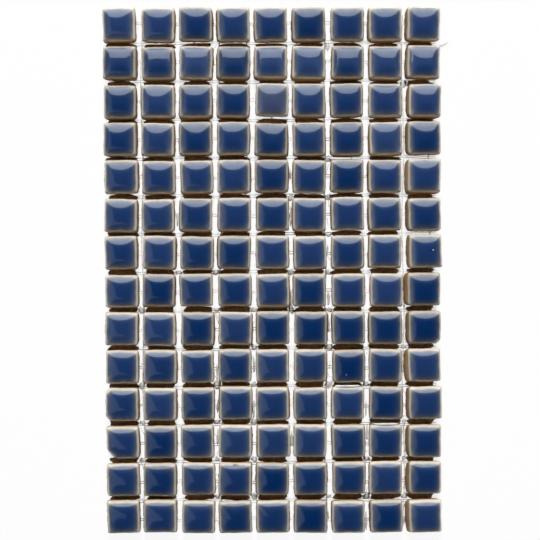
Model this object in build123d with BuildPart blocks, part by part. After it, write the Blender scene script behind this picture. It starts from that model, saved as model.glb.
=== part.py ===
"""Sheet of small glazed ceramic mosaic tiles, laid in rows on an open glass-fibre mesh.

Millimetres. The sheet lies flat with the glazed faces up: X runs across the columns, Y along
the sheet, and Z = 0 is the underside of the mesh, below the middle of the sheet.
"""

import os
from math import sqrt
from random import Random

from build123d import *

# Sheet
columns = 9
rows = 14
joint = 1.5
last_column_gap = 0.4

# Tile: a pressed body that narrows to its back, with a cushion face that rises from a rolled rim
tile_width = 10.0
tile_thickness = 4.5
shoulder_height = 2.6
rim_height = 3.9
back_inset = 0.4
rim_inset = 0.55
margin = 2.75
corner_cut = 0.55

# Hand laying: how far a tile strays, as a share of the joint, and how far it turns
stray_share = 0.15
turn_limit = 1.4
laying_seed = 14

# Mesh backing
strand_width = 0.5
mesh_thickness = 0.4
strand_pitch = 8.0
rung_pitch = 5.85
mesh_setback = 1.2

# Derived sizes
pitch = tile_width + joint
sheet_width = columns * tile_width + (columns - 1) * joint + last_column_gap
sheet_length = rows * tile_width + (rows - 1) * joint
mesh_width = sheet_width - 2 * mesh_setback
mesh_length = sheet_length - 2 * mesh_setback
strand_count = int((mesh_width - strand_width) / strand_pitch) + 1
rung_count = int((mesh_length - strand_width) / rung_pitch) + 1
stray_limit = stray_share * joint
tile_levels = (
    (0, back_inset),
    (shoulder_height, 0),
    (rim_height, rim_inset),
    (tile_thickness, rim_inset + margin),
)

os.makedirs("parts", exist_ok=True)
laying = Random(laying_seed)


def side_profile(diagonal):
    """Outline of the tile from the side, or from a corner, where the corner cut shortens it."""
    right = []
    for height, inset in tile_levels:
        half_width = tile_width / 2 - inset
        reach = (2 * half_width - corner_cut) / sqrt(2) if diagonal else half_width
        right.append((reach, height))
    left = [(-reach, height) for reach, height in reversed(right)]
    return right + left


def column_place(column):
    """Middle of a column across the sheet, with the wider joint before the last one."""
    place = -sheet_width / 2 + tile_width / 2 + column * pitch
    return place + last_column_gap if column == columns - 1 else place


def row_place(row):
    """Middle of a row along the sheet, counted from the back."""
    return sheet_length / 2 - tile_width / 2 - row * pitch


def laid(column, row):
    """Where one tile lies on the mesh: its grid place, a small stray and a small turn."""
    across = column_place(column) + laying.uniform(-stray_limit, stray_limit)
    along = row_place(row) + laying.uniform(-stray_limit, stray_limit)
    turn = laying.uniform(-turn_limit, turn_limit)
    return Location((across, along, mesh_thickness), (0, 0, turn))


# One tile, standing on its back: the side profile crosses itself square, and again at 45 degrees
# for the cut corners, and the tile is what all four prisms share
with BuildPart() as tile:
    for turn in (0, 90, 45, 135):
        with BuildSketch(Plane.XZ.rotated((0, 0, turn))):
            with BuildLine():
                Polyline(*side_profile(diagonal=turn % 90 != 0), close=True)
            make_face()
        extrude(amount=tile_width, both=True, mode=Mode.INTERSECT if turn else Mode.ADD)

# The laid rows, from the back of the sheet to the front
for row in range(rows):
    with BuildPart() as tile_row:
        with Locations([laid(column, row) for column in range(columns)]):
            add(tile.part)
    tile_row.part.label = f"tile_row_{row + 1:02d}"
    export_step(tile_row.part, f"parts/{tile_row.part.label}.step")

# Open mesh under all the tiles: strands along the sheet and rungs across it, fused where they cross
with BuildPart() as mesh_backing:
    with BuildSketch():
        with GridLocations(strand_pitch, 0, strand_count, 1):
            Rectangle(strand_width, mesh_length)
        with GridLocations(0, rung_pitch, 1, rung_count):
            Rectangle(mesh_width, strand_width)
    extrude(amount=mesh_thickness)
mesh_backing.part.label = "mesh_backing"
export_step(mesh_backing.part, "parts/mesh_backing.step")
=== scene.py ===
"""Looks of a mesh-mounted sheet of small glazed mosaic tiles.

The tiles get cushion faces with rolled rims, a blue glaze that thins to tan at the edges, and rough
brown bodies. The mesh gets twisted glass-fibre yarns, with painted shade on the rungs of some
joints, and dried glue, dark threads (partly painted shade of the strand edges) and brown strips of
painted shade in the joints between rows. A panel at the back gives each face its pale reflection.
Metres and radians, in the frame of the solids, unless a name ends in _MM, _DEG or _PX.
"""

import math
import random

import bpy
import numpy as np
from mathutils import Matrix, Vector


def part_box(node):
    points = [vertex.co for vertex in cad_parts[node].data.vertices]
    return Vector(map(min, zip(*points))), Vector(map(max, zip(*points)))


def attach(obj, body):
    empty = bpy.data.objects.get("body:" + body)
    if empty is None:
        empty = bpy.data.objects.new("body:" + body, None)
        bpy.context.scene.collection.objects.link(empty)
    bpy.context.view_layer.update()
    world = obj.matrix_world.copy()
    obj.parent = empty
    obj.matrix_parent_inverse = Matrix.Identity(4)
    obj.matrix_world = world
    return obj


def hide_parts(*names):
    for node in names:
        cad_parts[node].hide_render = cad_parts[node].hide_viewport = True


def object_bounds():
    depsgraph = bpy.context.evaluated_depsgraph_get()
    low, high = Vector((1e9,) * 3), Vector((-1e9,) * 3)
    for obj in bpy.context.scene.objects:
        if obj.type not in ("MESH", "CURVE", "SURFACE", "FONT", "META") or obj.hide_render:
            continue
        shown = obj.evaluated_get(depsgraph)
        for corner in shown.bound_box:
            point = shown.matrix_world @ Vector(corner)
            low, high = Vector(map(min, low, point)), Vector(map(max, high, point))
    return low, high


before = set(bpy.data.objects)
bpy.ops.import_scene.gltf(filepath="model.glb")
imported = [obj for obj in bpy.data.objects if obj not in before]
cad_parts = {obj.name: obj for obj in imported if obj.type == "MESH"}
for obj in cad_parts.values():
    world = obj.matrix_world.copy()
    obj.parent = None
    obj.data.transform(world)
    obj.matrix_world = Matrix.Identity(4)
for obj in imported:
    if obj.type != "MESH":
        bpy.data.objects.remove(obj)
cad_low, cad_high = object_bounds()

MM = 0.001

# Tile form: the face falls from its middle by a power of the reach, then rolls over to the side
HALF_WIDTH_MM = 5.0
THICKNESS_MM = 4.5
FACE_REACH_MM = 4.17
FACE_FALL_MM = 0.65
FACE_POWER = 3.06
ROLL_END_DEG = 88.0
FACE_RINGS = 12
ROLL_RINGS = 9
SIDE_POINTS = 9
# Below the roll: inset from the widest outline and height above the back
SIDE_MM = (
    (0.01, 2.4),
    (0.03, 1.7),
    (0.06, 1.0),
    (0.12, 0.45),
    (0.22, 0.15),
    (0.42, 0.0),
    (2.6, 0.0),
)
# How square a tile is, on the face, at the rim and at the back: low powers are round, high ones
# sharp. The glaze thins along a square of its own
FACE_SQUARE = (2.3, 3.0)
OUTLINE_SQUARE = (12.0, 20.0)
BASE_SQUARE = (3.2, 5.0)
GLAZE_SQUARE = 4.0
# How late the contours of the face turn square on the way out to the rim
SQUARE_LATE = 4.45
# How far the face lies towards the front of the body
FACE_SHIFT_MM = 0.22
# How far the left and right sides stand out below the roll
FLARE_MM = 0.1

# Faults of single tiles
TILT_DEG = 0.65
# How far the back of a tilted tile may sink into the mesh
SINK_MM = 0.35
# Forward lean of single rows, counted from the back
ROW_LEANS_DEG = {1: 4.5, 2: -0.9}
SIZE_STRAY = 0.008
APEX_STRAY_MM = 0.25
APEX_FADE = 1.5
# Ripples of the face, and their range of radians to the millimetre
RIPPLE_MM = 0.003
RIPPLE_WAVES = 5
RIPPLE_PACE = (0.5, 1.3)
# Bow of the sides, which fades towards the middle of the face
BOW_SHARE = 0.0045
BOW_TURNS = (2, 3, 5, 7)
BOW_FADE = 4
# Dents of the rough sides, and how far they may slant, in radians to the millimetre
WALL_ROUGH_MM = 0.03
DENT_TURNS = (9, 13, 17, 23)
DENT_SLANT = 3
BULGE_MM = 0.35
SKEW_MM = 0.2
LAST_COLUMN_SKEW_MM = -0.9
# Worn corners: row and column, heading of the corner from +X in degrees, and the reach in
# millimetres past which wear takes a share
CORNER_WEAR = ((12, 1, 225, 4.9), (11, 1, 225, 6.0), (11, 1, 135, 6.1), (9, 9, 315, 6.0))
WEAR_SHARE = 0.85
TILE_SEED = 5
# Tone of the glaze, from deep to pale, and the palest tile by row and column from the back left
TONE_SPREAD = 0.3
PALE_TILE = (3, 5)
PALE_TONE = 0.85

# Marks of where a point lies on a tile, for the glaze: 0 at the middle of the face, 1 where the
# roll starts, 2 where it ends, and 3 at the back
PLACE_FACE = 1.0
PLACE_ROLL = 2.0
PLACE_BACK = 3.0
# The crown of a solid: its depth below the highest point, and decimals that tell its points apart
CROWN_BAND_MM = 0.01
CROWN_DECIMALS = 7


def tile_rings():
    """Reach, height and place of each ring of points, from the middle of the face to the back."""
    rings = []
    for step in range(1, FACE_RINGS + 1):
        share = step / FACE_RINGS
        fall = FACE_FALL_MM * share**FACE_POWER
        rings.append((FACE_REACH_MM * share, THICKNESS_MM - fall, PLACE_FACE * share))
    rim_height = THICKNESS_MM - FACE_FALL_MM
    start = math.atan(FACE_FALL_MM * FACE_POWER / FACE_REACH_MM)
    end = math.radians(ROLL_END_DEG)
    radius = (HALF_WIDTH_MM - FACE_REACH_MM) / (math.sin(end) - math.sin(start))
    for step in range(1, ROLL_RINGS + 1):
        share = step / ROLL_RINGS
        angle = start + (end - start) * share
        reach = FACE_REACH_MM + radius * (math.sin(angle) - math.sin(start))
        height = rim_height - radius * (math.cos(start) - math.cos(angle))
        rings.append((reach, height, PLACE_FACE + share * (PLACE_ROLL - PLACE_FACE)))
    roll_height = rings[-1][1]
    for inset, height in SIDE_MM:
        share = 1 - height / roll_height
        place = PLACE_ROLL + share * (PLACE_BACK - PLACE_ROLL)
        rings.append((HALF_WIDTH_MM - inset, height, place))
    return np.array(rings)


def ring_angles():
    """Directions from the middle of a tile to the points of one ring, closest at the corners."""
    angles = []
    for side in range(4):
        for step in range(-SIDE_POINTS, SIDE_POINTS):
            along_side = math.sin(math.pi / 2 * step / SIDE_POINTS)
            angles.append(side * math.pi / 2 + math.atan(along_side))
    return np.array(angles)


RINGS = tile_rings()
ANGLES = ring_angles()


def rounded_square(reach, power):
    """Radius at each ring angle of a square with rounded corners."""
    return reach / (abs(np.cos(ANGLES)) ** power + abs(np.sin(ANGLES)) ** power) ** (1 / power)


def ring_power(place, face, outline, base):
    """How square a ring is: round on the face, square at the rim, rounder again at the back."""
    if place <= PLACE_FACE:
        return face + (outline - face) * place**SQUARE_LATE
    return outline + (base - outline) * max(place - PLACE_ROLL, 0)


def tile_points(chance, skew, wear):
    """Points of one tile on the origin in millimetres, and the place of each, with small faults.
    The skew is how far its back lies aside from its face, and wear gives its worn corners."""
    square = [chance.uniform(*limits) for limits in (FACE_SQUARE, OUTLINE_SQUARE, BASE_SQUARE)]
    stretch = chance.gauss(1, SIZE_STRAY), chance.gauss(1, SIZE_STRAY)
    apex = chance.gauss(0, APEX_STRAY_MM), chance.gauss(0, APEX_STRAY_MM)
    waves = [
        (chance.uniform(*RIPPLE_PACE), chance.uniform(0, math.tau), chance.uniform(0, math.tau))
        for _ in range(RIPPLE_WAVES)
    ]
    bow = sum(np.sin(turns * ANGLES + chance.uniform(0, math.tau)) for turns in BOW_TURNS)
    dents = [
        (turns, chance.uniform(0, math.tau), chance.uniform(-DENT_SLANT, DENT_SLANT))
        for turns in DENT_TURNS
    ]
    bulge = chance.uniform(0, BULGE_MM) * (1 + np.cos(ANGLES - chance.uniform(0, math.tau))) / 2
    points = [(apex[0], apex[1] - FACE_SHIFT_MM, THICKNESS_MM)]
    places = [0.0]
    for reach, height, place in RINGS:
        share = min(place, PLACE_FACE) ** APEX_FADE
        radius = rounded_square(reach, ring_power(place, *square))
        thinned = radius / rounded_square(reach, GLAZE_SQUARE) - 1
        depth = max(place - PLACE_ROLL, 0)
        radius = radius * (1 + BOW_SHARE * bow * min(place, PLACE_FACE) ** BOW_FADE)
        if PLACE_ROLL < place < PLACE_BACK:
            dent = sum(np.sin(turns * ANGLES + at + lean * height) for turns, at, lean in dents)
            radius = radius + WALL_ROUGH_MM * dent + bulge * math.sin(math.pi * depth)
        across = radius * np.cos(ANGLES) * stretch[0] + apex[0] * (1 - share) + skew[0] * depth
        along = radius * np.sin(ANGLES) * stretch[1] + apex[1] * (1 - share) + skew[1] * depth
        if depth < 1:
            across = across * (1 + FLARE_MM / HALF_WIDTH_MM * math.sin(math.pi * depth))
        for heading, limit in wear:
            outwards = across * math.cos(heading) + along * math.sin(heading)
            over = WEAR_SHARE * np.maximum(outwards - limit * reach / HALF_WIDTH_MM, 0)
            across = across - over * math.cos(heading)
            along = along - over * math.sin(heading)
        along = along - FACE_SHIFT_MM * min(max(PLACE_ROLL - place, 0), 1)
        ripple = sum(
            np.sin(pace * (across * math.cos(heading) + along * math.sin(heading)) + phase)
            for pace, heading, phase in waves
        )
        up = height + RIPPLE_MM * ripple * (place <= PLACE_FACE)
        points += list(zip(across, along, np.broadcast_to(up, across.shape)))
        places += list(place + thinned * min(place, max(PLACE_ROLL - place, 0)))
    points.append((skew[0], skew[1], 0.0))
    places.append(PLACE_BACK)
    return np.array(points), np.array(places)


def tile_faces():
    """Faces of one tile: a fan at the crown, bands between rings, and a fan at the back."""
    around = len(ANGLES)
    last = 1 + len(RINGS) * around
    faces = []
    for point in range(around):
        beside = (point + 1) % around
        faces.append((0, 1 + point, 1 + beside))
        for ring in range(len(RINGS) - 1):
            upper = 1 + ring * around
            lower = upper + around
            faces.append((upper + point, lower + point, lower + beside, upper + beside))
        bottom = last - around
        faces.append((bottom + point, last, bottom + beside))
    return faces


TILE_FACES = tile_faces()


def laid_tiles(node):
    """Middle, base and turn of each tile of a row, read from the flat crowns of its solids."""
    points = np.array([vertex.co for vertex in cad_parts[node].data.vertices])
    crowns = points[points[:, 2] > points[:, 2].max() - CROWN_BAND_MM * MM]
    crowns = np.unique(crowns.round(CROWN_DECIMALS), axis=0)
    crowns = crowns[crowns[:, 0].argsort()]
    breaks = np.where(np.diff(crowns[:, 0]) > HALF_WIDTH_MM * MM)[0] + 1
    tiles = []
    for crown in np.split(crowns, breaks):
        middle = crown.mean(axis=0)
        from_middle = crown[:, :2] - middle[:2]
        angles = np.arctan2(from_middle[:, 1], from_middle[:, 0])
        turn = np.angle(-np.exp(4j * angles).sum()) / 4
        tiles.append((middle[0], middle[1], middle[2] - THICKNESS_MM * MM, turn))
    return tiles


def turned(points, turn, tilt_x, tilt_y):
    """Points of a tile in millimetres, tilted about its crown along X and Y and turned about Z."""
    across, along, up = (points - (0, 0, THICKNESS_MM)).T
    along, up = along - up * tilt_x, up + along * tilt_x
    across, up = across + up * tilt_y, up - across * tilt_y
    cos, sin = math.cos(turn), math.sin(turn)
    up = np.maximum(up + THICKNESS_MM, -SINK_MM)
    return np.stack([across * cos - along * sin, across * sin + along * cos, up], axis=1)


def float_attribute(mesh, name, values):
    """Stores one number for each point of a mesh, for its material."""
    attribute = mesh.attributes.new(name, "FLOAT", "POINT")
    attribute.data.foreach_set("value", np.asarray(values, np.float32))


def new_piece(name, points, faces, material):
    """A smooth mesh object that rides with the sheet, with one material slot."""
    mesh = bpy.data.meshes.new(name)
    mesh.from_pydata([tuple(point) for point in points], [], faces)
    mesh.polygons.foreach_set("use_smooth", [True] * len(mesh.polygons))
    mesh.materials.append(material)
    piece = bpy.data.objects.new(name, mesh)
    bpy.context.scene.collection.objects.link(piece)
    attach(piece, "root")
    return piece


def add_row(node, row, tiles, chance, material):
    """One row of tiles as a single piece, each tile where its solid lies."""
    lean = math.radians(ROW_LEANS_DEG.get(row, 0.0))
    tilt = math.radians(TILT_DEG)
    points, places, tones, faces = [], [], [], []
    for column, (across, along, base, turn) in enumerate(tiles, start=1):
        skew = [chance.gauss(0, SKEW_MM), chance.gauss(-SKEW_MM / 2, SKEW_MM)]
        if column == len(tiles):
            skew[0] += LAST_COLUMN_SKEW_MM
        wear = [
            (math.radians(heading), limit)
            for worn_row, worn_column, heading, limit in CORNER_WEAR
            if (worn_row, worn_column) == (row, column)
        ]
        own, place = tile_points(chance, skew, wear)
        own = turned(own, turn, lean + chance.gauss(0, tilt), chance.gauss(0, tilt))
        tone = chance.uniform(0, TONE_SPREAD)
        if (row, column) == PALE_TILE:
            tone = PALE_TONE
        first = sum(len(block) for block in points)
        points.append(own * MM + np.array([across, along, base]))
        places.append(place)
        tones.append(np.full(len(own), tone))
        faces += [tuple(first + corner for corner in face) for face in TILE_FACES]
    piece = new_piece(node + "_glazed", np.concatenate(points), faces, material)
    float_attribute(piece.data, "place", np.concatenate(places))
    float_attribute(piece.data, "tone", np.concatenate(tones))
    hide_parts(node)


# Materials


def new_material(name):
    """An empty node material, its tree and its surface shader."""
    material = bpy.data.materials.new(name)
    material.use_nodes = True
    tree = material.node_tree
    return material, tree, tree.nodes["Principled BSDF"]


def add_node(tree, kind, **settings):
    """A node of a kind, with its properties set."""
    node = tree.nodes.new(kind)
    for name, value in settings.items():
        setattr(node, name, value)
    return node


def own_place(tree):
    """Where a point lies in its object's own frame."""
    return add_node(tree, "ShaderNodeTexCoord").outputs["Object"]


def stored(tree, name):
    """A number that float_attribute keeps with each point."""
    return add_node(tree, "ShaderNodeAttribute", attribute_name=name).outputs["Fac"]


def feed(tree, value, socket):
    """Gives a socket its value: a link from another socket, or a constant on the socket itself."""
    if isinstance(value, bpy.types.NodeSocket):
        tree.links.new(value, socket)
    else:
        socket.default_value = value


def arithmetic(tree, operation, first, second=0.0):
    """A sum, product or other operation on two values."""
    node = add_node(tree, "ShaderNodeMath", operation=operation)
    feed(tree, first, node.inputs[0])
    feed(tree, second, node.inputs[1])
    return node.outputs[0]


def blend(tree, share, first, second, kind="FLOAT"):
    """A mix of two values or two colours."""
    node = add_node(tree, "ShaderNodeMix", data_type=kind)
    ends = {"FLOAT": (2, 3), "RGBA": (6, 7)}[kind]
    feed(tree, share, node.inputs[0])
    feed(tree, first, node.inputs[ends[0]])
    feed(tree, second, node.inputs[ends[1]])
    return node.outputs[0 if kind == "FLOAT" else 2]


def rescaled(tree, value, low, high, new_low, new_high):
    """A value moved from one range to another and kept inside it."""
    node = add_node(tree, "ShaderNodeMapRange")
    feed(tree, value, node.inputs["Value"])
    limits = {"From Min": low, "From Max": high, "To Min": new_low, "To Max": new_high}
    for name, limit in limits.items():
        node.inputs[name].default_value = limit
    return node.outputs[0]


def noise(tree, where, scale, detail):
    """Clouds between 0 and 1, with so many to the metre."""
    node = add_node(tree, "ShaderNodeTexNoise")
    feed(tree, where, node.inputs["Vector"])
    node.inputs["Scale"].default_value = scale
    node.inputs["Detail"].default_value = detail
    return node.outputs["Fac"]


def bumped(tree, height, depth, strength):
    """A normal that follows a height."""
    node = add_node(tree, "ShaderNodeBump")
    feed(tree, height, node.inputs["Height"])
    feed(tree, strength, node.inputs["Strength"])
    node.inputs["Distance"].default_value = depth
    return node.outputs[0]


def srgb(red, green, blue):
    """A colour as it looks on a screen, 0 to 255, as the linear colour that shaders take."""
    def linear(value):
        value /= 255
        return value / 12.92 if value <= 0.04045 else ((value + 0.055) / 1.055) ** 2.4
    return (linear(red), linear(green), linear(blue), 1.0)


def ramp(tree, source, stops):
    """A colour ramp over a value from 0 to the last place, from (place, colour) stops."""
    top = stops[-1][0]
    node = add_node(tree, "ShaderNodeValToRGB")
    elements = node.color_ramp.elements
    while len(elements) < len(stops):
        elements.new(1.0)
    for element, (place, colour) in zip(elements, stops):
        element.position = place / top
        element.color = colour
    feed(tree, arithmetic(tree, "DIVIDE", source, top), node.inputs[0])
    return node.outputs[0]


# Edge of a blot: how many clouds to the metre bend it, by what share, and where it fades
BLOT_CLOUDS = 2200
BLOT_UNEVEN = 0.35
BLOT_EDGE = (0.75, 1.05)


def spot(tree, where, middle, size):
    """1 inside an uneven blot of a size about a point, 0 outside."""
    offset = add_node(tree, "ShaderNodeVectorMath", operation="SUBTRACT")
    feed(tree, where, offset.inputs[0])
    feed(tree, middle, offset.inputs[1])
    share = add_node(tree, "ShaderNodeVectorMath", operation="DIVIDE")
    feed(tree, offset.outputs[0], share.inputs[0])
    feed(tree, size, share.inputs[1])
    reach = add_node(tree, "ShaderNodeVectorMath", operation="LENGTH")
    feed(tree, share.outputs[0], reach.inputs[0])
    clouds = noise(tree, where, BLOT_CLOUDS, 2)
    uneven = rescaled(tree, clouds, 0.3, 0.7, -BLOT_UNEVEN, BLOT_UNEVEN)
    edge = arithmetic(tree, "ADD", reach.outputs["Value"], uneven)
    return rescaled(tree, edge, *BLOT_EDGE, 1.0, 0.0)


# Damage, and on the tile in row 7, column 9 the painted shade and painted highlight of a small
# glaze
# bubble: row and column, then the middle and half size of the blot on that tile, and its colour
CHIP_COLOUR = srgb(72, 58, 46)
BUBBLE_SHADE_COLOUR = srgb(10, 16, 34)
SPECK_AND_GLINT_COLOUR = srgb(226, 228, 230)
BLOTS_MM = (
    (13, 4, (0.1, 4.2, 3.75), (1.0, 0.34, 0.8), CHIP_COLOUR),
    # Painted shade, then painted highlight, of a small glaze bubble
    (7, 9, (1.75, 0.05, 4.4), (0.35, 0.22, 0.4), BUBBLE_SHADE_COLOUR),
    (7, 9, (2.1, 0.15, 4.4), (0.2, 0.18, 0.4), SPECK_AND_GLINT_COLOUR),
    (10, 7, (-0.9, -2.7, 4.2), (0.14, 0.2, 0.4), SPECK_AND_GLINT_COLOUR),
)


# Colour of the glaze and the body, by place
GLAZE_COLOURS = (
    (0.0, srgb(14, 49, 101)),
    (0.3, srgb(15, 49, 101)),
    (0.44, srgb(17, 50, 100)),
    (0.58, srgb(23, 53, 101)),
    (0.73, srgb(34, 58, 102)),
    (0.8, srgb(45, 64, 103)),
    (0.88, srgb(58, 73, 104)),
    (0.95, srgb(74, 84, 106)),
    (1.06, srgb(103, 107, 115)),
    (1.22, srgb(164, 162, 160)),
    (1.4, srgb(209, 203, 194)),
    (1.62, srgb(222, 211, 192)),
    (1.82, srgb(204, 182, 148)),
    (1.97, srgb(170, 140, 102)),
    (2.3, srgb(156, 126, 88)),
    (3.0, srgb(124, 96, 65)),
)
# Clouds to the metre that let the places drift, and how far
DRIFT_CLOUDS = 420
DRIFT = 0.1
# What the tone does, from deep to pale
TONE_VALUE = (0.8, 1.13)
TONE_SATURATION = (1.05, 0.68)
# Places between which the gloss of the glaze ends, and the roughness before and after
GLAZE_END = (1.6, 1.95)
GLAZE_ROUGHNESS = 0.05
BODY_ROUGHNESS = 0.75
# A second, softer gloss over the sharp one
HAZE_WEIGHT = 0.5
HAZE_ROUGHNESS = 0.275
# Grain of the bare body: places between which it comes in, strength, depth and clouds to the metre
BARE_START = (1.75, 2.0)
GRAIN_STRENGTH = 0.7
GRAIN_MM = 0.1
GRAIN_CLOUDS = 2600


def glaze_material(rows):
    """Cobalt glaze, thin and tan on the roll, over a rough brown body."""
    material, tree, shader = new_material("blue_glaze_on_brown_body")
    place = stored(tree, "place")
    tone = stored(tree, "tone")
    where = own_place(tree)
    drift = rescaled(tree, noise(tree, where, DRIFT_CLOUDS, 3), 0.0, 1.0, -DRIFT, DRIFT)
    uneven = arithmetic(tree, "ADD", place, drift)
    colour = ramp(tree, uneven, GLAZE_COLOURS)
    toned = add_node(tree, "ShaderNodeHueSaturation")
    feed(tree, rescaled(tree, tone, 0, TONE_SPREAD, *TONE_VALUE), toned.inputs["Value"])
    feed(tree, rescaled(tree, tone, 0, 1, *TONE_SATURATION), toned.inputs["Saturation"])
    feed(tree, colour, toned.inputs["Color"])
    colour = toned.outputs[0]
    # Blots of damage, and the painted highlight and painted shade of a glaze bubble
    for row, column, offset, size, blot_colour in BLOTS_MM:
        across, along, base, _ = rows[row - 1][column - 1]
        middle = (across + offset[0] * MM, along + offset[1] * MM, base + offset[2] * MM)
        mask = spot(tree, where, middle, tuple(reach * MM for reach in size))
        colour = blend(tree, mask, colour, blot_colour, kind="RGBA")
    feed(tree, colour, shader.inputs["Base Color"])
    roughness = rescaled(tree, uneven, *GLAZE_END, GLAZE_ROUGHNESS, BODY_ROUGHNESS)
    feed(tree, roughness, shader.inputs["Roughness"])
    haze = rescaled(tree, uneven, *GLAZE_END, HAZE_WEIGHT, 0.0)
    feed(tree, haze, shader.inputs["Coat Weight"])
    shader.inputs["Coat Roughness"].default_value = HAZE_ROUGHNESS
    bare = rescaled(tree, place, *BARE_START, 0.0, GRAIN_STRENGTH)
    grain = noise(tree, where, GRAIN_CLOUDS, 4)
    feed(tree, bumped(tree, grain, GRAIN_MM * MM, bare), shader.inputs["Normal"])
    return material


# Clouds to the metre, their detail and their colours
FIBRE_CLOUDS = (300, 2)
FIBRE_COLOURS = (
    (0.3, srgb(196, 194, 189)),
    (0.6, srgb(236, 235, 232)),
    (1.0, srgb(244, 243, 241)),
)
# Painted shade on the rungs of some joints
RUNG_SHADE_COLOUR = srgb(104, 98, 91)
FIBRE_ROUGHNESS = 0.45
GLUE_CLOUDS = (900, 4)
GLUE_COLOURS = (
    (0.3, srgb(176, 173, 168)),
    (0.55, srgb(208, 206, 201)),
    (1.0, srgb(240, 238, 235)),
)
GLUE_ROUGHNESS = 0.4
GLUE_LUMPS = (1500, 3)
GLUE_LUMP_MM = 0.1
GLUE_LUMP_STRENGTH = 0.6
# Partly loose thread, partly painted shade of the strand edges in the joints
THREAD_CLOUDS = (500, 2)
THREAD_AND_SHADE_COLOURS = (
    (0.3, srgb(70, 62, 54)),
    (0.7, srgb(128, 120, 110)),
    (1.0, srgb(140, 134, 126)),
)
THREAD_ROUGHNESS = 0.7
# Painted shade: brown strips that darken the floor of the joints between rows
SHADE_STRIP_CLOUDS = (1200, 4)
SHADE_STRIP_COLOURS = (
    (0.3, srgb(186, 146, 108)),
    (0.7, srgb(220, 186, 150)),
    (1.0, srgb(226, 194, 160)),
)
SHADE_STRIP_ROUGHNESS = 0.95


def fibre_material():
    """Glass fibre: white yarns, dulled in places by glue, and dark with painted shade on the rungs
    of some joints.
    """
    material, tree, shader = new_material("glass_fibre")
    colour = ramp(tree, noise(tree, own_place(tree), *FIBRE_CLOUDS), FIBRE_COLOURS)
    # Painted shade: the rungs near some joints are darkened
    colour = blend(tree, stored(tree, "smudged_and_shaded"), colour, RUNG_SHADE_COLOUR, kind="RGBA")
    feed(tree, colour, shader.inputs["Base Color"])
    shader.inputs["Roughness"].default_value = FIBRE_ROUGHNESS
    return material


def glue_material():
    """Dried glue, grey-white and half shiny, with a little dust in it."""
    material, tree, shader = new_material("dried_glue")
    where = own_place(tree)
    colour = ramp(tree, noise(tree, where, *GLUE_CLOUDS), GLUE_COLOURS)
    feed(tree, colour, shader.inputs["Base Color"])
    shader.inputs["Roughness"].default_value = GLUE_ROUGHNESS
    lumps = bumped(tree, noise(tree, where, *GLUE_LUMPS), GLUE_LUMP_MM * MM, GLUE_LUMP_STRENGTH)
    feed(tree, lumps, shader.inputs["Normal"])
    return material


def matt_material(name, clouds, colours, roughness):
    """A rough material whose colour changes in clouds, for the threads and the strips of painted
    shade.
    """
    material, tree, shader = new_material(name)
    colour = ramp(tree, noise(tree, own_place(tree), *clouds), colours)
    feed(tree, colour, shader.inputs["Base Color"])
    shader.inputs["Roughness"].default_value = roughness
    return material


# Mesh backing, glue, dust and threads, in millimetres

# Joints between columns with glue smudges, dark threads and painted shade on their rungs: the
# column on the left, and the first and last row
SMUDGED_AND_SHADED_JOINTS = (
    (1, 10, 14),
    (3, 9, 13),
    (4, 9, 13),
    (5, 5, 8),
    (6, 4, 10),
    (7, 10, 14),
    (8, 10, 14),
)
# How far about the middle of such a joint, across and along, the rungs get painted shade
SHADED_RUNG_REACH_MM = (2.5, 6.0)


def tile_grid(rows):
    """Middles of all tiles in millimetres, by row and column."""
    return np.array([[tile[:2] for tile in tiles] for tiles in rows]) / MM


def joint_places(rows):
    """Middles of the joints between columns, and which of them have glue smudges and painted shade.
    """
    grid = tile_grid(rows)
    joints = (grid[:, :-1] + grid[:, 1:]) / 2
    smudged_and_shaded = np.zeros(joints.shape[:2], bool)
    for column, first, last in SMUDGED_AND_SHADED_JOINTS:
        smudged_and_shaded[first - 1:last, column - 1] = True
    return joints, smudged_and_shaded


STRAND_PITCH_MM = 8.0
RUNG_PITCH_MM = 5.85
STRAND_RADIUS_MM = 0.11
STRAND_TWIST_MM = 0.11
TWIST_LENGTH_MM = 2.8
TWIST_FLATNESS = 0.6
STRAND_STEP_MM = 0.5
RUNG_RADIUS_MM = 0.085
RUNG_SPLIT_MM = 0.65
RUNG_STEP_MM = 1.5
# Sideways stray of yarns, the range of its wave lengths, and the share that parts a rung's yarns
WANDER_MM = 0.3
WANDER_LENGTH_MM = (30, 60)
RUNG_WANDER_SHARE = 0.3
TUBE_SIDES = 6
MESH_SEED = 11


def tube(points, faces, path, radius):
    """Adds a thin round tube along a path of points."""
    path = np.asarray(path, float)
    heading = np.gradient(path, axis=0)
    aside = np.stack([-heading[:, 1], heading[:, 0], np.zeros(len(path))], axis=1)
    aside /= np.linalg.norm(aside, axis=1)[:, None]
    up = np.array([0.0, 0.0, 1.0])
    first = len(points)
    for middle, sideways in zip(path, aside):
        for step in range(TUBE_SIDES):
            angle = step * math.tau / TUBE_SIDES
            points.append(middle + radius * (math.cos(angle) * sideways + math.sin(angle) * up))
    for ring in range(len(path) - 1):
        for step in range(TUBE_SIDES):
            one = first + ring * TUBE_SIDES + step
            two = first + ring * TUBE_SIDES + (step + 1) % TUBE_SIDES
            faces.append((one, two, two + TUBE_SIDES, one + TUBE_SIDES))
    last = len(points) - TUBE_SIDES
    faces.append(tuple(first + step for step in reversed(range(TUBE_SIDES))))
    faces.append(tuple(last + step for step in range(TUBE_SIDES)))


def slow_wander(along, chance):
    """Sideways stray of a yarn along its length."""
    pace = math.tau / chance.uniform(*WANDER_LENGTH_MM)
    return WANDER_MM * np.sin(along * pace + chance.uniform(0, math.tau))


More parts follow.
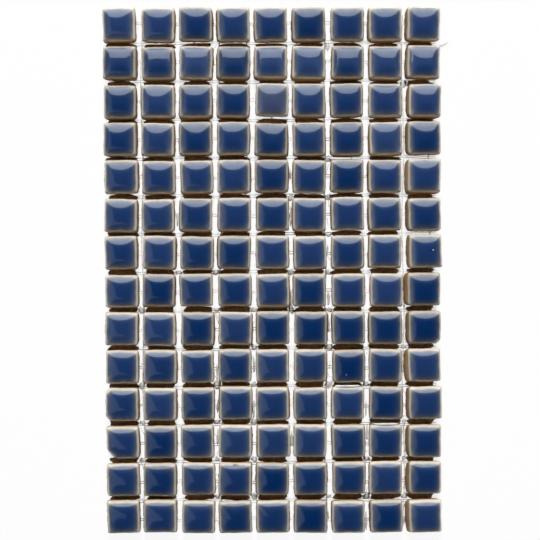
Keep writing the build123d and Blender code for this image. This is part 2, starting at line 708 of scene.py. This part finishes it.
def strand(points, faces, across, low, high, level, chance):
    """Adds two yarns twisted round each other along the sheet."""
    along = np.linspace(low, high, int((high - low) / STRAND_STEP_MM))
    middle = across + slow_wander(along, chance)
    start = chance.uniform(0, math.tau)
    for half in (0, math.pi):
        twist = along * math.tau / TWIST_LENGTH_MM + start + half
        sideways = middle + STRAND_TWIST_MM * np.cos(twist)
        height = level + TWIST_FLATNESS * STRAND_TWIST_MM * np.sin(twist)
        tube(points, faces, np.stack([sideways, along, height], axis=1), STRAND_RADIUS_MM)


def rung(points, faces, along, low, high, level, chance):
    """Adds two thin yarns side by side across the sheet."""
    across = np.linspace(low, high, int((high - low) / RUNG_STEP_MM))
    middle = along + slow_wander(across, chance)
    for half in (-RUNG_SPLIT_MM / 2, RUNG_SPLIT_MM / 2):
        sideways = middle + half + RUNG_WANDER_SHARE * slow_wander(across, chance)
        path = np.stack([across, sideways, np.full(len(across), level)], axis=1)
        tube(points, faces, path, RUNG_RADIUS_MM)


def add_mesh_backing(rows, chance, material):
    """Strands along the sheet and rungs across it, in place of the plain bars."""
    low, high = (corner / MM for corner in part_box("mesh_backing"))
    level = (low.z + high.z) / 2
    points, faces = [], []
    strands = int((high.x - low.x) / STRAND_PITCH_MM) + 1
    rungs = int((high.y - low.y) / RUNG_PITCH_MM) + 1
    for count in range(strands):
        across = (count - (strands - 1) / 2) * STRAND_PITCH_MM
        strand(points, faces, across, low.y, high.y, level, chance)
    strand_points = len(points)
    for count in range(rungs):
        along = (count - (rungs - 1) / 2) * RUNG_PITCH_MM
        rung(points, faces, along, low.x, high.x, level / 2, chance)
    piece = new_piece("mesh_backing_woven", np.array(points) * MM, faces, material)
    # The rungs near the marked joints get painted shade
    joints, smudged_and_shaded = joint_places(rows)
    apart = abs(np.array(points)[:, None, :2] - joints[smudged_and_shaded])
    dark = (apart < SHADED_RUNG_REACH_MM).all(axis=2).any(axis=1)
    dark[:strand_points] = False
    float_attribute(piece.data, "smudged_and_shaded", dark)
    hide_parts("mesh_backing")


DROP_RINGS = 4
DROP_SIDES = 16
DROP_LOBES = (2, 3, 5)
# Shares of crossings and joints that have glue, clean and soiled ones, and the sizes of the drops
CROSSING_SHARE = 0.08
SOILED_CROSSING_SHARE = 0.75
CROSSING_SIZE_MM = (0.6, 1.3)
CROSSING_HEIGHT_MM = (0.1, 0.25)
SMEAR_SHARE = 0.06
SOILED_SMEAR_SHARE = 0.7
SMEAR_WIDTH_MM = (0.25, 0.5)
SMEAR_LENGTH_MM = (1.0, 3.2)
SMEAR_HEIGHT_MM = (0.2, 0.5)
SMEAR_STRAY_MM = (0.3, 3.0)
# Row and column of tiles with a ridge of glue up their back, and the size of such a ridge
GLUED_BACKS = ((11, 7), (12, 8))
RIDGE_MM = (4.6, 0.45, 4.0)
GLUE_SEED = 3


def rounded(value, square):
    """A sine or cosine pushed out towards a square by a power below 1."""
    return math.copysign(abs(value) ** square, value)


def drop(points, faces, middle, size, height, chance, uneven=0.12, square=1.0, full=3.0):
    """Adds a low drop with an uneven outline that stands on the floor. The fuller it is, the
    flatter its top."""
    lobes = [(turns, chance.uniform(0, math.tau)) for turns in DROP_LOBES]
    first = len(points)
    points.append((middle[0], middle[1], height))
    for ring in range(1, DROP_RINGS + 1):
        share = ring / DROP_RINGS
        for step in range(DROP_SIDES):
            angle = step * math.tau / DROP_SIDES
            wave = sum(math.sin(turns * angle + phase) for turns, phase in lobes)
            swell = share * (1 + uneven * wave)
            across = middle[0] + size[0] * swell * rounded(math.cos(angle), square)
            along = middle[1] + size[1] * swell * rounded(math.sin(angle), square)
            points.append((across, along, height * (1 - share**full)))
    for step in range(DROP_SIDES):
        beside = (step + 1) % DROP_SIDES
        faces.append((first, first + 1 + step, first + 1 + beside))
        for ring in range(DROP_RINGS - 1):
            inner = first + 1 + ring * DROP_SIDES
            outer = inner + DROP_SIDES
            faces.append((inner + step, outer + step, outer + beside, inner + beside))
    faces.append(tuple(reversed(range(len(points) - DROP_SIDES, len(points)))))


def add_glue(rows, chance, material, ridge_material):
    """Glue at some crossings of the joints, along some of them, and up the backs of two tiles."""
    grid = tile_grid(rows)
    crossings = (grid[:-1, :-1] + grid[:-1, 1:] + grid[1:, :-1] + grid[1:, 1:]) / 4
    joints, smudged_and_shaded = joint_places(rows)
    points, faces = [], []
    for middle, grey in zip(crossings.reshape(-1, 2), (smudged_and_shaded[:-1] | smudged_and_shaded[1:]).reshape(-1)):
        if chance.random() < (SOILED_CROSSING_SHARE if grey else CROSSING_SHARE):
            size = [chance.uniform(*CROSSING_SIZE_MM) for _ in range(2)]
            drop(points, faces, middle, size, chance.uniform(*CROSSING_HEIGHT_MM), chance)
    for middle, grey in zip(joints.reshape(-1, 2), smudged_and_shaded.reshape(-1)):
        if chance.random() < (SOILED_SMEAR_SHARE if grey else SMEAR_SHARE):
            size = chance.uniform(*SMEAR_WIDTH_MM), chance.uniform(*SMEAR_LENGTH_MM)
            middle = middle + [chance.uniform(-limit, limit) for limit in SMEAR_STRAY_MM]
            drop(points, faces, middle, size, chance.uniform(*SMEAR_HEIGHT_MM), chance)
    new_piece("joint_glue", np.array(points) * MM, faces, material)
    points, faces = [], []
    for row, column in GLUED_BACKS:
        middle = grid[row - 1, column - 1] + (0, HALF_WIDTH_MM)
        *size, height = RIDGE_MM
        drop(points, faces, middle, size, height, chance, uneven=0.03, square=0.4, full=8.0)
    new_piece("back_glue", np.array(points) * MM, faces, ridge_material)


# Half length, half width and height of a strip of painted shade in a joint between rows, and half
# length in the last column
SHADE_STRIP_MM = (4.6, 1.2, 0.45)
LAST_SHADE_STRIP_REACH_MM = 4.1
SHADE_STRIP_SEED = 4
# Row and column of tiles whose front joint has no strip of painted shade
FRONTS_WITHOUT_SHADE_STRIP = ((4, 7), (4, 9), (6, 9))


def add_shade_strips(rows, chance, material):
    """Brown strips of painted shade on the floor of the joints between rows."""
    grid = tile_grid(rows)
    points, faces = [], []
    for row, column in np.ndindex(grid[:-1, :, 0].shape):
        if (row + 1, column + 1) not in FRONTS_WITHOUT_SHADE_STRIP:
            middle = (grid[row, column] + grid[row + 1, column]) / 2
            reach, half_width, height = SHADE_STRIP_MM
            if column == grid.shape[1] - 1:
                middle[0] += LAST_COLUMN_SKEW_MM
                reach = LAST_SHADE_STRIP_REACH_MM
            size = reach, half_width
            drop(points, faces, middle, size, height, chance, uneven=0.06, square=0.7)
    new_piece("row_joint_shade_strips", np.array(points) * MM, faces, material)


THREAD_RADIUS_MM = 0.05
THREAD_LEVEL_MM = 1.2
THREAD_COUNT = 48
THREAD_POINTS = 12
THREAD_ACROSS_MM = (0.1, 0.7)
THREAD_ALONG_MM = (-2.0, 2.0)
THREAD_STRAY_MM = (-5.0, 5.0)
THREAD_BEND_MM = (-0.3, 0.3)
CLEAN_THREAD_SHARE = 0.2
THREAD_SEED = 8
# Kinks of a thread as a share of its bend, how far it rises and falls, and the radians of each
# over its length
KINK_SHARE = 0.3
KINK_PACE = 9
RISE_MM = 0.2
RISE_PACE = 4
# The frayed yarn, from the edge of the sheet outwards
FRAY_START_MM = (50.6, 68.9)
FRAY_END_MM = (54.6, 69.6)
FRAY_STRAY_MM = ((-1.2, 0.5), (-0.6, 0.6))
FRAY_LEVEL_MM = 0.5
FRAY_BEND_MM = (-0.5, -0.2)
FRAY_COUNT = 4
FRAY_RADIUS_MM = 0.06


def curl(start, end, level, bend, chance):
    """Path of a loose thread between two points, bent aside."""
    share = np.linspace(0, 1, THREAD_POINTS)
    start, end = np.array(start), np.array(end)
    aside = np.array([start[1] - end[1], end[0] - start[0]]) / np.linalg.norm(end - start)
    kinks = np.sin(share * KINK_PACE + chance.uniform(0, math.tau))
    sideways = bend * np.sin(math.pi * share) + KINK_SHARE * bend * kinks
    flat = start + np.outer(share, end - start) + np.outer(sideways, aside)
    rise = RISE_MM * np.sin(share * RISE_PACE + chance.uniform(0, math.tau))
    return np.column_stack([flat, level + rise])


def add_threads_and_strand_shade(rows, chance, material, fray_material):
    """Short dark threads, mostly in the smudged and shaded joints, partly loose thread and partly
    painted shade of the strand edges, and a wisp of frayed yarn at the right edge.
    """
    joints, smudged_and_shaded = joint_places(rows)
    points, faces = [], []
    for _ in range(THREAD_COUNT):
        choice = joints.reshape(-1, 2) if chance.random() < CLEAN_THREAD_SHARE else joints[smudged_and_shaded]
        middle = choice[chance.randrange(len(choice))]
        reach = chance.uniform(*THREAD_ACROSS_MM), chance.uniform(*THREAD_ALONG_MM)
        middle = middle + (0, chance.uniform(*THREAD_STRAY_MM))
        bend = chance.uniform(*THREAD_BEND_MM)
        path = curl(middle - reach, middle + reach, THREAD_LEVEL_MM, bend, chance)
        tube(points, faces, path, THREAD_RADIUS_MM)
    new_piece("threads_and_strand_shade", np.array(points) * MM, faces, material)
    points, faces = [], []
    for _ in range(FRAY_COUNT):
        end = [place + chance.uniform(*stray) for place, stray in zip(FRAY_END_MM, FRAY_STRAY_MM)]
        path = curl(FRAY_START_MM, end, FRAY_LEVEL_MM, chance.uniform(*FRAY_BEND_MM), chance)
        tube(points, faces, path, FRAY_RADIUS_MM)
    new_piece("frayed_yarn", np.array(points) * MM, faces, fray_material)


# Studio

FLOOR_SIZE = 8.0
FLOOR_COLOUR = (0.96, 0.96, 0.96, 1.0)
FLOOR_ROUGHNESS = 0.9
# How far the camera sees the floor lifted to white, beside the sheet and in its joints
FLOOR_LIFT = 0.92
JOINT_LIFT = 0.8


def add_floor():
    """A plain white floor. The camera sees it and its shadows lifted towards white, less so in the
    joints."""
    half = FLOOR_SIZE / 2
    mesh = bpy.data.meshes.new("floor")
    corners = [(-half, -half, 0), (half, -half, 0), (half, half, 0), (-half, half, 0)]
    mesh.from_pydata(corners, [], [(0, 1, 2, 3)])
    floor = bpy.data.objects.new("floor", mesh)
    bpy.context.scene.collection.objects.link(floor)
    material, tree, shader = new_material("white_floor")
    shader.inputs["Base Color"].default_value = FLOOR_COLOUR
    shader.inputs["Roughness"].default_value = FLOOR_ROUGHNESS
    shader.inputs["Specular IOR Level"].default_value = 0.0
    parts = add_node(tree, "ShaderNodeSeparateXYZ")
    feed(tree, own_place(tree), parts.inputs[0])
    beside = []
    for axis, limit in (("X", cad_high.x), ("Y", cad_high.y)):
        reach = arithmetic(tree, "ABSOLUTE", parts.outputs[axis])
        beside.append(arithmetic(tree, "GREATER_THAN", reach, limit - MM))
    seen = add_node(tree, "ShaderNodeLightPath").outputs["Is Camera Ray"]
    lift = rescaled(tree, arithmetic(tree, "MAXIMUM", *beside), 0, 1, JOINT_LIFT, FLOOR_LIFT)
    white = add_node(tree, "ShaderNodeEmission")
    mixed = add_node(tree, "ShaderNodeMixShader")
    feed(tree, arithmetic(tree, "MULTIPLY", seen, lift), mixed.inputs[0])
    feed(tree, shader.outputs[0], mixed.inputs[1])
    feed(tree, white.outputs[0], mixed.inputs[2])
    feed(tree, mixed.outputs[0], tree.nodes["Material Output"].inputs["Surface"])
    mesh.materials.append(material)


def add_light(name, place, size, radiance, colour, diffuse=True, glossy=True):
    """A rectangular lamp that faces the sheet, from its radiance: 1 looks white."""
    data = bpy.data.lights.new(name, "AREA")
    data.shape = "RECTANGLE"
    data.size, data.size_y = size
    data.energy = radiance * math.pi * size[0] * size[1]
    data.color = colour
    lamp = bpy.data.objects.new(name, data)
    lamp.location = place
    bpy.context.scene.collection.objects.link(lamp)
    direction = -lamp.location
    lamp.rotation_mode = "QUATERNION"
    lamp.rotation_quaternion = direction.to_track_quat("-Z", "Y")
    lamp.visible_diffuse = diffuse
    lamp.visible_glossy = glossy


def on_dome(from_vertical_deg, heading_deg, distance):
    """A place over the sheet by its angle from the vertical and its heading from +Y to +X."""
    tilt, heading = math.radians(from_vertical_deg), math.radians(heading_deg)
    return (
        distance * math.sin(tilt) * math.sin(heading),
        distance * math.sin(tilt) * math.cos(heading),
        distance * math.cos(tilt),
    )


# Lamps: place, width and height, radiance and colour
KEY = (on_dome(44, 0, 1.8), (0.24, 0.24), 206.0, (1.0, 0.99, 0.975))
BACK_PANEL = (on_dome(46.6, 0, 1.0), (1.22, 0.767), 3.6, (0.92, 0.985, 1.0))
BACK_SOFT = (on_dome(45.8, 0, 2.36), (3.2, 1.81), 0.3, (1.0, 1.0, 1.0))
FRONT_SOFT = (on_dome(50, 180, 2.2), (3.0, 1.2), 0.12, (1.0, 0.96, 0.9))


def add_lights():
    """A narrow key from the back that reaches down the joints, a nearer panel that the glaze
    mirrors, and soft fills from back and front."""
    add_light("key", *KEY, glossy=False)
    add_light("back_panel", *BACK_PANEL, diffuse=False)
    add_light("back_soft", *BACK_SOFT, glossy=False)
    add_light("front_soft", *FRONT_SOFT, glossy=False)


# Corners of the card from above, and its height
CARD_CORNERS = ((-0.17, -0.4), (-1.25, 0.87), (-2.3, 0.87), (-2.3, -0.62))
CARD_HEIGHT = 2.0
CARD_RADIANCE = 0.6
CARD_COLOUR = (0.84, 0.94, 1.0, 1.0)


def add_card():
    """A dim slanted card at the left that only the glaze sees."""
    mesh = bpy.data.meshes.new("side_card")
    mesh.from_pydata([(*corner, CARD_HEIGHT) for corner in CARD_CORNERS], [], [(0, 1, 2, 3)])
    card = bpy.data.objects.new("side_card", mesh)
    bpy.context.scene.collection.objects.link(card)
    material, tree, _ = new_material("card_glow")
    glow = add_node(tree, "ShaderNodeEmission")
    glow.inputs["Color"].default_value = CARD_COLOUR
    glow.inputs["Strength"].default_value = CARD_RADIANCE
    feed(tree, glow.outputs[0], tree.nodes["Material Output"].inputs["Surface"])
    mesh.materials.append(material)
    card.visible_camera = False
    card.visible_diffuse = False
    card.visible_shadow = False


# Strength of the room in the glaze, and between which heights, or depths to the back, it changes
WORLD_HORIZON = 0.7
WORLD_ZENITH = 0.015
WORLD_FADE = (0.32, 0.62)
WORLD_BACK = 0.7
WORLD_BACK_RISE = (0.4, 0.85)
# Strength of the room as a light
WORLD_FILL = 0.03


def add_world():
    """A room that is white to the camera, and dim as a light. To the glaze it is pale near the
    horizon, and paler at the back."""
    world = bpy.data.worlds.new("studio")
    bpy.context.scene.world = world
    world.use_nodes = True
    tree = world.node_tree
    background = tree.nodes["Background"]
    background.inputs["Color"].default_value = (1.0, 1.0, 1.0, 1.0)
    parts = add_node(tree, "ShaderNodeSeparateXYZ")
    feed(tree, add_node(tree, "ShaderNodeTexCoord").outputs["Generated"], parts.inputs[0])
    mirrored = rescaled(tree, parts.outputs["Z"], *WORLD_FADE, WORLD_HORIZON, WORLD_ZENITH)
    behind = rescaled(tree, parts.outputs["Y"], *WORLD_BACK_RISE, 0.0, WORLD_BACK)
    mirrored = arithmetic(tree, "ADD", mirrored, behind)
    rays = add_node(tree, "ShaderNodeLightPath")
    unseen = blend(tree, rays.outputs["Is Glossy Ray"], WORLD_FILL, mirrored)
    strength = blend(tree, rays.outputs["Is Camera Ray"], unseen, 1.0)
    feed(tree, strength, background.inputs["Strength"])


IMAGE_PX = 540
SENSOR_MM = 36.0
# One millimetre of a face in the image
MM_IN_PX = 3.295
CAMERA_HEIGHT_MM = 303.0
CAMERA_TILT_DEG = -1.0
CAMERA_ROLL_DEG = -0.28
CAMERA_SHIFT = 0.22
# What the camera aims at, from the middle of the sheet
AIM_MM = (-1.05, 0.24)


def add_camera():
    """Camera above the front half of the sheet, nearly square to it, with a shifted lens."""
    focal_px = MM_IN_PX * CAMERA_HEIGHT_MM
    data = bpy.data.cameras.new("camera")
    data.sensor_width = SENSOR_MM
    data.lens = focal_px / IMAGE_PX * SENSOR_MM
    data.shift_y = CAMERA_SHIFT
    camera = bpy.data.objects.new("camera", data)
    bpy.context.scene.collection.objects.link(camera)
    to_middle = math.radians(CAMERA_TILT_DEG) + math.atan(CAMERA_SHIFT * IMAGE_PX / focal_px)
    height = CAMERA_HEIGHT_MM * MM
    along = AIM_MM[1] * MM - height * math.tan(to_middle)
    camera.location = (AIM_MM[0] * MM, along, cad_high.z + height)
    camera.rotation_euler = (math.radians(CAMERA_TILT_DEG), 0, math.radians(CAMERA_ROLL_DEG))
    bpy.context.scene.camera = camera


tile_chance = random.Random(TILE_SEED)
row_nodes = sorted(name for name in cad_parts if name.startswith("tile_row"))
sheet_rows = [laid_tiles(node) for node in row_nodes]
glaze = glaze_material(sheet_rows)
fibre = fibre_material()
for row_number, (row_node, row_tiles) in enumerate(zip(row_nodes, sheet_rows), start=1):
    add_row(row_node, row_number, row_tiles, tile_chance, glaze)
add_mesh_backing(sheet_rows, random.Random(MESH_SEED), fibre)
add_glue(sheet_rows, random.Random(GLUE_SEED), glue_material(), fibre)
# The material of the brown strips of painted shade in the joints between rows
dust = matt_material("row_joint_painted_shade", SHADE_STRIP_CLOUDS, SHADE_STRIP_COLOURS, SHADE_STRIP_ROUGHNESS)
add_shade_strips(sheet_rows, random.Random(SHADE_STRIP_SEED), dust)
# The dark threads are partly loose thread and partly painted shade of the strand edges
thread = matt_material("dark_thread_and_strand_shade", THREAD_CLOUDS, THREAD_AND_SHADE_COLOURS, THREAD_ROUGHNESS)
add_threads_and_strand_shade(sheet_rows, random.Random(THREAD_SEED), thread, fibre)
add_floor()
add_lights()
add_card()
add_world()
add_camera()
bpy.context.scene.view_settings.view_transform = "Standard"
